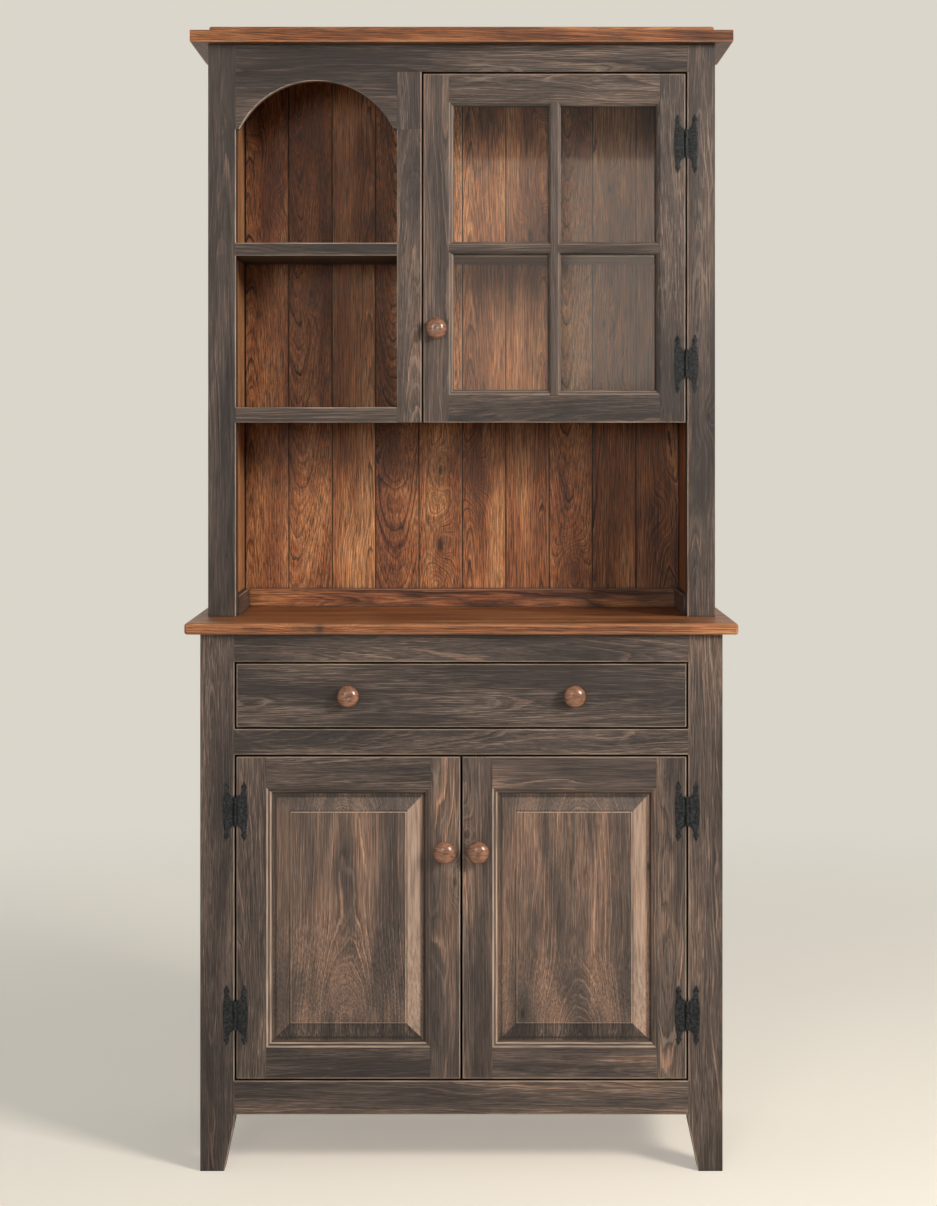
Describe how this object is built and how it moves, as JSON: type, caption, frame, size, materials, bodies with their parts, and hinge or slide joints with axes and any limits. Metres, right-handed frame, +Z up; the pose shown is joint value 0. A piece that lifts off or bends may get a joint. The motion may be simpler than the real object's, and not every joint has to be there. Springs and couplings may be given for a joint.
{
  "type": "step back cupboard",
  "caption": "Two-part wooden cupboard: drawer and panelled doors below, a set-back hutch with open arched bays, a serving recess and a glazed door above.",
  "frame": {"origin": "bottom centre of the whole cupboard, on the floor", "axes": "+Z up, +Y towards the back, -Y is the front, +X to the right as seen from the front"},
  "size_m": [0.936, 0.447, 1.944],
  "materials": {
    "charcoal_wood": "charcoal stain over hardwood, rubbed through at the arrises, satin",
    "walnut_wood": "walnut stain, satin lacquer",
    "plain_wood": "sealed secondary wood",
    "knob_wood": "turned, dark brown stain, gloss lacquer",
    "black_iron": "black, hammered",
    "pin_steel": "drawn",
    "clear_glass": "clear sheet glass"
  },
  "bodies": {
    "cabinet": {"base_back_boards": "plain_wood", "base_back_rails": "plain_wood", "base_bottom_rail": "charcoal_wood", "base_cleats": "plain_wood", "base_floor_board": "plain_wood", "base_mid_rail": "charcoal_wood", "base_post_front_left": "charcoal_wood", "base_post_front_right": "charcoal_wood", "base_posts_back": "charcoal_wood", "base_shelf": "plain_wood", "base_side_panels": "charcoal_wood", "base_side_rails": "charcoal_wood", "base_top_rail": "charcoal_wood", "countertop": "walnut_wood", "crown_front": "walnut_wood", "crown_sides": "walnut_wood", "door_stops": "plain_wood", "drawer_runners": "plain_wood", "frame_hinge_leaves": "black_iron", "hinge_pins": "pin_steel", "hutch_arch_board": "charcoal_wood", "hutch_back_boards": "walnut_wood", "hutch_back_rail": "walnut_wood", "hutch_bottom_shelf": "charcoal_wood", "hutch_mid_stile": "charcoal_wood", "hutch_partition": "charcoal_wood", "hutch_post_front_left": "charcoal_wood", "hutch_post_front_right": "charcoal_wood", "hutch_posts_back": "charcoal_wood", "hutch_shelf_left": "charcoal_wood", "hutch_shelf_right": "charcoal_wood", "hutch_side_panels": "walnut_wood", "hutch_side_rails": "charcoal_wood", "hutch_top_board": "walnut_wood", "hutch_top_rail": "charcoal_wood"},
    "drawer": {"drawer_back": "plain_wood", "drawer_bottom": "plain_wood", "drawer_front": "charcoal_wood", "drawer_knobs": "knob_wood", "drawer_sides": "plain_wood"},
    "left_door": {"left_door_hinge_leaves": "black_iron", "left_door_hinge_stile": "charcoal_wood", "left_door_knob": "knob_wood", "left_door_lock_stile": "charcoal_wood", "left_door_panel": "charcoal_wood", "left_door_rails": "charcoal_wood"},
    "right_door": {"right_door_hinge_leaves": "black_iron", "right_door_hinge_stile": "charcoal_wood", "right_door_knob": "knob_wood", "right_door_lock_stile": "charcoal_wood", "right_door_panel": "charcoal_wood", "right_door_rails": "charcoal_wood"},
    "glass_door": {"glass_door_glazing_beads": "charcoal_wood", "glass_door_hinge_leaves": "black_iron", "glass_door_hinge_stile": "charcoal_wood", "glass_door_knob": "knob_wood", "glass_door_lock_stile": "charcoal_wood", "glass_door_muntins": "charcoal_wood", "glass_door_panes": "clear_glass", "glass_door_rails": "charcoal_wood"}
  },
  "joints": [
    {"name": "drawer_slide", "type": "slide", "parent": "cabinet", "child": "drawer", "axis": [0, -1, 0], "range_m": [0, 0.3]},
    {"name": "left_door_hinge", "type": "hinge", "parent": "cabinet", "child": "left_door", "pos_m": [-0.37975, -0.1967, 0.426], "axis": [0, 0, -1], "range_deg": [0, 170]},
    {"name": "right_door_hinge", "type": "hinge", "parent": "cabinet", "child": "right_door", "pos_m": [0.37975, -0.1967, 0.426], "axis": [0, 0, 1], "range_deg": [0, 170]},
    {"name": "glass_door_hinge", "type": "hinge", "parent": "cabinet", "child": "glass_door", "pos_m": [0.38925, -0.0567, 1.56], "axis": [0, 0, 1], "range_deg": [0, 170]}
  ]
}
